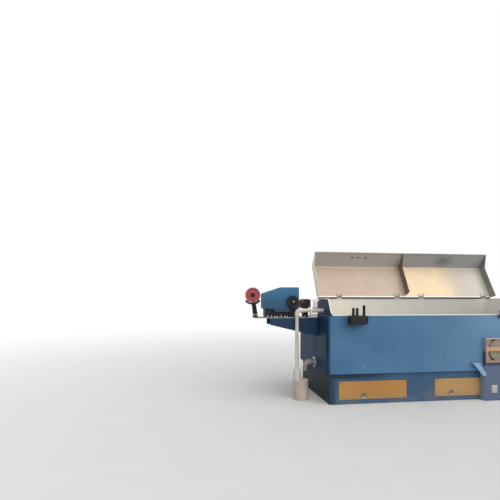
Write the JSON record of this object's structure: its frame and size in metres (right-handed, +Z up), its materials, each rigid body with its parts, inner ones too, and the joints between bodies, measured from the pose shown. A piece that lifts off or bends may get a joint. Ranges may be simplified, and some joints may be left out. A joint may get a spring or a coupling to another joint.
{
  "type": "wire drawing machine",
  "caption": "Wet wire drawing machine: a tank with stepped cone capstans under an open hinged hood, gearcase behind, inlet arm with guide wheel.",
  "frame": {"origin": "on the floor, under the middle of the body's footprint", "axes": "+X along the machine in the wire's direction, +Y from the operator's side to the gearcase, +Z up"},
  "size_m": [3.8534, 1.515, 2.0509],
  "materials": {
    "blue_paint": "satin",
    "orange_paint": "satin",
    "cream_paint": "satin",
    "stainless": "brushed",
    "zinc_steel": "satin",
    "cone_steel": "polished",
    "black_paint": "satin",
    "red_paint": "satin",
    "white_plastic": "matte",
    "brass": "satin",
    "cast_grey": "matte",
    "olive_paint": "matte"
  },
  "bodies": {
    "machine": {"base_frame": "blue_paint", "base_doors": "orange_paint", "front_wall": "blue_paint", "end_walls": "blue_paint", "ears": "blue_paint", "tank_bed": "cream_paint", "liner_back": "cream_paint", "liner_front": "cream_paint", "liner_ends": "cream_paint", "lip_trim": "cream_paint", "gearcase": "blue_paint", "gearcase_cover": "blue_paint", "bearing_caps": "blue_paint", "belt_guard": "blue_paint", "hinge_rail": "blue_paint", "hinge_blocks": "zinc_steel", "lip_bracket": "black_paint", "guide_pegs": "black_paint", "cone_1": "cone_steel", "cone_2": "cone_steel", "cone_3": "cone_steel", "cone_4": "cone_steel", "cone_shafts": "zinc_steel", "die_stands": "cast_grey", "dies": "brass", "coolant_header": "zinc_steel", "inlet_shelf": "blue_paint", "shelf_gussets": "blue_paint", "entry_guard": "blue_paint", "guard_stand": "black_paint", "wheel_arm": "black_paint", "feed_block": "black_paint", "pvc_pipe": "white_plastic", "pvc_valve": "white_plastic", "pipe_saddle": "white_plastic", "drain_elbow": "zinc_steel", "outlet_pedestal": "blue_paint", "capstan_guard": "orange_paint", "capstan_axle": "zinc_steel", "exit_guide": "olive_paint"},
    "hood": {"hood_panel": "stainless", "hood_ends": "stainless", "hood_rib": "stainless", "hood_leaves": "zinc_steel"},
    "guide_wheel": {"guide_wheel": "red_paint"},
    "entry_pulley": {"entry_pulley": "black_paint"},
    "finishing_capstan": {"finishing_capstan": "cast_grey"}
  },
  "joints": [
    {"name": "hood_hinge", "type": "hinge", "parent": "machine", "child": "hood", "pos_m": [0, -0.0375, 1.39], "axis": [1, 0, 0], "range_deg": [0, 117]},
    {"name": "guide_wheel_spin", "type": "hinge", "parent": "machine", "child": "guide_wheel", "pos_m": [-2.312, -0.1025, 1.41], "axis": [0, 1, 0], "continuous": true},
    {"name": "entry_pulley_spin", "type": "hinge", "parent": "machine", "child": "entry_pulley", "pos_m": [-1.775, -0.2275, 1.317], "axis": [0, 1, 0], "continuous": true},
    {"name": "finishing_capstan_spin", "type": "hinge", "parent": "machine", "child": "finishing_capstan", "pos_m": [0.947, -0.6845, 0.668], "axis": [0, 1, 0], "continuous": true}
  ]
}
